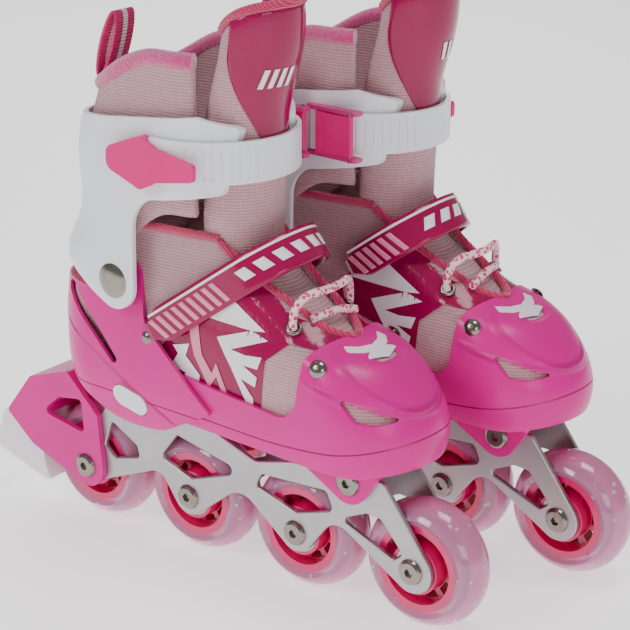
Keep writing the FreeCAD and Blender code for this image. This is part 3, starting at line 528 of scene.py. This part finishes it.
# Films on the shoe: patent and printed vinyl panels welded and stitched over the mesh.
def vinyl(name, colour, deep):
    """Glossy coated fabric with a faint orange-peel."""
    film = Finish(name, colour, Roughness=0.12, Coat_Weight=0.25)
    film.set(**{"Specular IOR Level": 0.25})
    film.set(**{"Coat Roughness": 0.06})
    film.set(**{"Base Color": film.mix(film.noise(45), colour, deep)})
    return film.bump(film.noise(500, 2), 0.00012)


magenta = vinyl("magenta_patent", (0.36, 0.0, 0.08), (0.27, 0.0, 0.055))
pale = vinyl("pale_pink_patent", (0.88, 0.3, 0.46), (0.8, 0.2, 0.36))
chalk = vinyl("white_patent", (0.93, 0.9, 0.93), (0.88, 0.82, 0.88))


def film(skate, name, outline, finish, lift, side=-1, from_above=False):
    """A panel cut to an outline in side view (or seen from above) and laid on the shoe's surface."""
    bm = bmesh.new()
    corners = [bm.verts.new((a, b, 0)) for a, b in outline]
    bm.faces.new(corners)
    bmesh.ops.triangulate(bm, faces=bm.faces)
    for _ in range(8):
        long_edges = [edge for edge in bm.edges if edge.calc_length() > 2.0]
        if not long_edges:
            break
        bmesh.ops.subdivide_edges(bm, edges=long_edges, cuts=1)
        bmesh.ops.triangulate(bm, faces=bm.faces)
    layer = bm.loops.layers.uv.new("cloth")
    tree = shoes[skate.side]
    lost = []
    for vert in bm.verts:
        a, b = vert.co.x, vert.co.y
        for loop in vert.link_loops:
            loop[layer].uv = (a / 1000, b / 1000)
        if from_above:
            start = skate.at(a, b, 220)
            way = Vector((0, 0, -1))
        else:
            start = skate.at(a, side * 80, b)
            way = Vector((0, -side * skate.hand, 0))
        place, normal, _, _ = tree.ray_cast(start, way)
        if place is None:
            lost.append(vert)
            continue
        if normal.dot(way) > 0:
            normal = -normal
        vert.co = place + normal * lift / 1000
    bmesh.ops.delete(bm, geom=lost, context="VERTS")
    bmesh.ops.recalc_face_normals(bm, faces=bm.faces)
    piece = add_piece(skate.name(name), bm, finish.material)
    outwards(piece, skate.at(90, 0, 110))
    follow_toe(piece, skate)
    return piece


QUARTER = [(57, 109), (76, 129), (93, 148), (110, 162), (117, 161), (134, 148), (144, 136), (131, 125),
    (129, 91), (93, 90), (71, 93)]
SPARK = [(73, 120), (84, 123), (81, 116), (90, 108), (88, 94), (85, 101), (70, 97), (81, 107), (70, 108),
    (76, 116)]
BOLT = [(83, 134), (89, 135), (92, 119), (98, 111), (101, 117), (115, 90), (110, 91), (101, 110), (96, 103),
    (87, 117)]
ARROW = [(87, 139), (96, 149), (110, 149), (129, 138), (121, 137), (101, 138)]
WING = [(101, 130), (121, 137), (131, 134), (110, 126), (119, 125), (129, 126), (127, 120), (118, 120),
    (127, 116), (126, 111), (117, 113), (125, 105), (125, 95), (110, 118)]
for skate in skates:
    for side, word in ((-1, "outer"), (1, "inner")):
        film(skate, f"quarter_{word}", QUARTER, magenta, 0.4, side)
        film(skate, f"bolt_{word}", BOLT, pale, 0.75, side)
        film(skate, f"wing_{word}", WING, chalk, 0.75, side)
        film(skate, f"arrow_{word}", ARROW, chalk, 0.75, side)
        film(skate, f"spark_{word}", SPARK, chalk, 0.75, side)
        eyestay = [(100, 24.5), (118, 23.5), (133, 19.5), (145, 15), (156, 10.5), (165, 3), (168, 0),
                   (178, 0), (176, 12), (166, 20), (150, 24.5), (128, 28), (100, 31)]
        film(skate, f"eyestay_{word}", [(a, side * b) for a, b in eyestay], magenta, 0.55, from_above=True)
        crescent = [(171, 0), (169, 7), (164, 13), (170, 16), (177, 11), (181, 0)]
        film(skate, f"crescent_{word}", [(a, side * b) for a, b in crescent], chalk, 0.95, from_above=True)

# Ankle shaft: the padded mesh upper of the inner boot, open in front, with a fleece collar and a pull loop.
SHAFT_ROWS = ((150, 33, 29.5, 76, 29.5), (160, 34, 29.5, 76, 29.5), (174, 36.5, 31, 76, 31),
              (189, 38.5, 33, 76, 33), (217, 40, 33, 76, 33), (240, 46, 33, 76, 33), (272, 51, 33, 76, 33))
fleece = Finish("magenta_fleece", (0.8, 0.06, 0.33), Roughness=0.95)
fleece.set(**{"Sheen Weight": 1.0})
fuzz = fleece.noise(900, 4)
fleece.set(**{"Base Color": fleece.mix(fuzz, (0.5, 0.006, 0.15), (0.78, 0.03, 0.27))})
fleece.bump(fuzz, 0.0012)


def shaft_point(share, up, inset=0.0):
    """Share runs from the front edge (0) to the heel (1); up from the shoe to the collar."""
    front_x = 90
    low = 151 + 36 * smooth((0.72 - share) / 0.6)
    high = 242 + 20 * smooth((0.8 - share) / 0.55)
    z = low + (high - low) * up
    row = row_at(SHAFT_ROWS, z)
    start = math.acos(min(1, (front_x - row[2]) / row[3])) * row[3] / girth(row)
    x, y = round_section(row, start + (1 - start) * share, inset)
    return x, y, z


for skate in skates:
    def follow_cuff(piece, skate=skate):
        skate.name("cuff_band")
        skate.at(43, 0, 150)
        skate.at(43, 0, 190)
        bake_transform(piece)

    def shaft_spot(across, up, skate=skate):
        share = 1 - abs(2 * across - 1)
        side = -1 if across < 0.5 else 1
        x, y, z = shaft_point(share, up, 0.6 + 1.2 * (2 * up - 1) ** 4)
        return skate.at(x, y * side, z), (side * share * 0.13, z / 1000)

    shaft = wrap(skate.name("ankle_shaft"), 96, 30, shaft_spot, mesh_cloth)
    outwards(shaft, skate.at(60, 0, 200))
    thicken(shaft, 0.0045)
    follow_cuff(shaft)
    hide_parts(skate.name("boot_shaft"))
    roll = []
    for i in range(49):
        across = i / 48
        share = 1 - abs(2 * across - 1)
        x, y, z = shaft_point(share, 1.0, 3.2)
        roll.append(skate.at(x, y * (-1 if across < 0.5 else 1), z - 1))
    collar = tube(skate.name("fleece_collar"), roll, 0.0042, fleece)
    follow_cuff(collar)

    def loop_spot(across, up, skate=skate):
        half = (across - 0.5) * 13
        turn = math.pi * 2 * up
        arc = 0.5 - 0.5 * math.cos(turn)
        x = 9 + 11 * arc - 4.4 * math.sin(turn) * 0.9
        z = 240 + 33 * arc
        return skate.at(x, half, z), (across * 0.013, up * 0.07)

    webbing = Finish(skate.name("loop_webbing"), (0.75, 0.03, 0.18), Roughness=0.8)
    chart = webbing.node("ShaderNodeUVMap", {"uv_map": "cloth"})
    stripe = (webbing.axis(chart, 0) - 0.0065).size().below(0.0016, 0.0002)
    ribs = (webbing.axis(chart, 1) * 5200).sine()
    webbing.set(**{"Base Color": webbing.mix(stripe, (0.75, 0.03, 0.2), (0.9, 0.82, 0.86))})
    webbing.bump(ribs, 0.0003)
    loop = wrap(skate.name("pull_loop"), 8, 48, loop_spot, webbing)
    thicken(loop, 0.0016, 0.0)
    follow_cuff(loop)

# Tongue: a thick padded mesh tongue with a magenta patent badge panel, bound in tape.
TONGUE_ROWS = ((160, 40, 23, 90, 23), (195, 40, 23, 91, 23), (215, 40, 23, 92.3, 23),
               (236, 40, 23, 93.2, 23), (264, 40, 23, 101, 23), (292, 40, 23, 104, 23))
for skate in skates:
    def tongue_point(angle, z, lift=0.0):
        lean = row_at(TONGUE_ROWS, z)[2]
        radius = 22.8 + lift
        return lean + radius * math.cos(angle), radius * math.sin(angle), z

    def tongue_spot(across, up, skate=skate):
        angle = (across - 0.5) * 2 * 1.75
        top = 289 - 10 * (angle / 1.75) ** 4 - 3 * (angle / 1.75) ** 2
        z = 168 + (top - 168) * up
        swell = 0.5 - 2.6 * (2 * across - 1) ** 6 - 1.5 * up ** 12
        return skate.at(*tongue_point(angle, z, swell)), (angle * 0.024, z / 1000)

    tongue = wrap(skate.name("tongue_pad"), 56, 60, tongue_spot, mesh_cloth)
    outwards(tongue, skate.at(80, 0, 230))
    thicken(tongue, 0.006)
    skate.name("cuff_band")
    skate.at(43, 0, 150)
    skate.at(43, 0, 190)
    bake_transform(tongue)
    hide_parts(skate.name("tongue"))

    def badge_spot(across, up, skate=skate):
        half = 0.25 + 1.15 * smooth(up * 1.25) ** 0.8
        angle = (across - 0.5) * 2 * half
        top = 287.5 - 10 * (angle / 1.75) ** 4 - 3 * (angle / 1.75) ** 2
        z = 214 + (top - 214) * up
        return skate.at(*tongue_point(angle, z, 0.9 - 1.2 * up ** 12)), (angle * 0.024, z / 1000)

    badge = wrap(skate.name("tongue_badge"), 40, 40, badge_spot, magenta)
    outwards(badge, skate.at(80, 0, 230))
    thicken(badge, 0.0008, 0.0)
    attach(badge, skate.name("cuff_band"))
    rim_points = [tongue_spot(i / 40, 1.0)[0] for i in range(41)]
    bead = tube(skate.name("tongue_binding"), rim_points, 0.0024, tape)
    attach(bead, skate.name("cuff_band"))
    for n in range(4):
        def bar_spot(across, up, n=n, skate=skate):
            z = 250 + 9 * up
            angle = -0.62 + 0.2 * n + 0.07 * up + (across - 0.5) * 0.11
            return skate.at(*tongue_point(angle, z, 1.7)), (across * 0.003, up * 0.01)

        bar = wrap(skate.name(f"badge_bar_{n}"), 3, 6, bar_spot, chalk)
        outwards(bar, skate.at(80, 0, 230))
        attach(bar, skate.name("cuff_band"))

# Lace: a flecked round cord through the eyelets, held at both ends inside the shoe.
lace_cord = Finish("lace_braid", (0.85, 0.1, 0.25), Roughness=0.8)
braid = lace_cord.node("ShaderNodeTexVoronoi", None, {"Vector": lace_cord.place(), "Scale": 420.0})
flecked = lace_cord.mix(braid.below(0.42, 0.08), (0.95, 0.72, 0.78), (0.82, 0.02, 0.14))
lace_cord.set(**{"Base Color": flecked})
lace_cord.bump(braid, 0.0006)
for skate in skates:
    rise = [(142, 22, 141), (141.5, 23, 149), (145, 17, 157), (149, 6, 157.5)]
    arch = [skate.at(x, -y, z) for x, y, z in rise] + [skate.at(x, y, z) for x, y, z in reversed(rise)]
    strand = [skate.at(*p) for p in ((147, -14, 145), (149.5, -5, 146.5), (151, 5, 146), (151.5, 14, 143))]
    lace = tube(skate.name("lace_arch"), arch, 0.002, lace_cord)
    cross = tube(skate.name("lace_cross"), strand, 0.002, lace_cord)
    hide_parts(skate.name("lace"))
    for cord in (lace, cross):
        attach(cord, skate.root)

# Instep strap: patent vinyl band with a white line along its top edge and slanted pale bars at both ends.
BAND_TILT = math.radians(36)
BAND_HEIGHT = 64.5
BAND_HALF_WIDTH = 9
BAND_CROWN_RADIUS = 29.0
BAND_ARM_RADIUS = 35.0


def band_point(way, across, lift=0.0):
    """A point of the strap, in mm: way runs along it from the crown, across from its middle line."""
    apex_u, apex_y, apex_r = 179, 3, BAND_CROWN_RADIUS + lift
    arm_u = 120
    side = -1 if way < 0 else 1
    way = abs(way)
    skew = 0.05 if side < 0 else -0.05
    lean = math.asin((BAND_ARM_RADIUS - BAND_CROWN_RADIUS) / (apex_u - arm_u)) + skew
    turn = math.pi / 2 - lean
    if way < BAND_CROWN_RADIUS * turn:
        angle = way / BAND_CROWN_RADIUS
        u, y = apex_u + apex_r * math.cos(angle), apex_y + side * apex_r * math.sin(angle)
    else:
        run = way - BAND_CROWN_RADIUS * turn
        u = apex_u + apex_r * math.cos(turn) - run * math.cos(lean)
        y = apex_y + side * (apex_r * math.sin(turn) + run * math.sin(lean))
    n = BAND_HEIGHT + across
    x = u * math.cos(BAND_TILT) - n * math.sin(BAND_TILT)
    return x, y, u * math.sin(BAND_TILT) + n * math.cos(BAND_TILT)


for skate in skates:
    def band_strip(name, first, last, low, high, finish, lift, slant=0.0, columns=60, skate=skate):
        def spot(across, up):
            way = first + (last - first) * across + slant * (up - 0.5)
            end = smooth(min(across, 1 - across) * 14) if name == "instep_band" else 1.0
            rise = (low + (high - low) * up) * (0.45 + 0.55 * end)
            return skate.at(*band_point(way, rise, lift)), (way / 1000, rise / 1000)

        piece = wrap(skate.name(name), columns, 8, spot, finish)
        outwards(piece, skate.at(100, 0, 130))
        thicken(piece, 0.0018 if name == "instep_band" else 0.0004, 0.0)
        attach(piece, skate.name("band"))
        return piece

    band = band_strip("instep_band", -101, 66, -BAND_HALF_WIDTH, BAND_HALF_WIDTH, magenta, 0)
    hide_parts(skate.name("instep_strap"))
    band_strip("band_line", -96, 62, 6.2, 7.4, chalk, 1.1)
    for n in range(9):
        band_strip(f"band_bar_{n}", -95 + 5.2 * n, -92.2 + 5.2 * n, -6.8, 4.6, pale, 1.1, -5.0, 3)
        if n < 6:
            band_strip(f"band_bar_far_{n}", 58 - 5.2 * n, 60.8 - 5.2 * n, -6.8, 4.6, pale, 1.1, 5.0, 3)
    for n in range(6):
        band_strip(f"band_mark_{n}", -38 + 10 * n, -32 + 10 * n, -3, 3, chalk, 1.1, -3.0, 3)

# Insole: a thin foam board in the bottom of each boot.
foam = Finish("insole_foam", (0.2, 0.17, 0.19), Roughness=0.9)
foam.set(**{"Base Color": foam.mix(foam.noise(300), (0.24, 0.2, 0.22), (0.14, 0.12, 0.13))})
for skate in skates:
    def insole_spot(across, up, skate=skate):
        share = 1 - abs(2 * across - 1)
        x, y, z = shoe_point(share, 90, 3.4, open_throat=False)
        side = -1 if across < 0.5 else 1
        reach = 0.02 + 0.98 * up
        return skate.at(90 + (x - 90) * reach, y * side * reach, 89), (across, up)

    insole = wrap(skate.name("insole"), 60, 6, insole_spot, foam, merge=True)
    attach(insole, skate.root)
